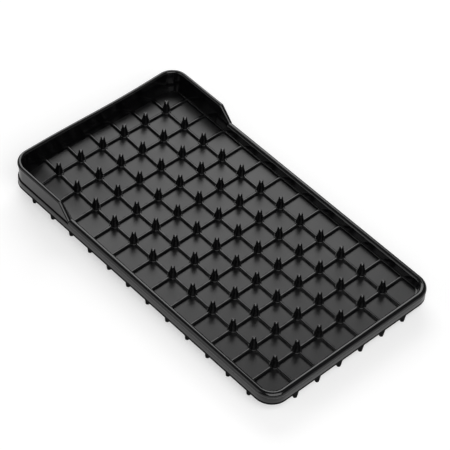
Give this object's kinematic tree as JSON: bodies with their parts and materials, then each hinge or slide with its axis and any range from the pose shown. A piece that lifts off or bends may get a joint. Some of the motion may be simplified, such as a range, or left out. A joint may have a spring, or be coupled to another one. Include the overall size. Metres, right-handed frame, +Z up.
{
  "type": "plug tray",
  "caption": "Shallow black rectangular tray with low ribs in a grid, slotted spikes where they cross, short legs, a rounded rim and a raised wall round one end.",
  "frame": {"origin": "centre of the tray in plan, on the plane that the tips of the legs stand on", "axes": "+X across the tray to the right, +Y along it towards the raised wall, +Z up"},
  "size_m": [0.2894, 0.506, 0.055],
  "materials": {
    "black_rubber": "satin"
  },
  "bodies": {
    "root": {"band_back": "black_rubber", "band_corner_back_left": "black_rubber", "band_corner_back_right": "black_rubber", "band_corner_front_left": "black_rubber", "band_corner_front_right": "black_rubber", "band_front": "black_rubber", "band_left": "black_rubber", "band_right": "black_rubber", "bead_corner_front_left": "black_rubber", "bead_corner_front_right": "black_rubber", "bead_front": "black_rubber", "bead_left": "black_rubber", "bead_right": "black_rubber", "cross_ribs": "black_rubber", "floor_plate": "black_rubber", "ledge_corner_front_left": "black_rubber", "ledge_corner_front_right": "black_rubber", "ledge_front": "black_rubber", "ledge_left": "black_rubber", "ledge_right": "black_rubber", "legs_back": "black_rubber", "legs_front": "black_rubber", "legs_left": "black_rubber", "legs_right": "black_rubber", "long_ribs": "black_rubber", "spikes_1": "black_rubber", "spikes_2": "black_rubber", "spikes_3": "black_rubber", "spikes_4": "black_rubber", "spikes_5": "black_rubber", "spikes_6": "black_rubber", "wall_back": "black_rubber", "wall_corner_back_left": "black_rubber", "wall_corner_back_right": "black_rubber", "wall_left": "black_rubber", "wall_right": "black_rubber", "wall_slope_left": "black_rubber", "wall_slope_right": "black_rubber"}
  },
  "joints": []
}
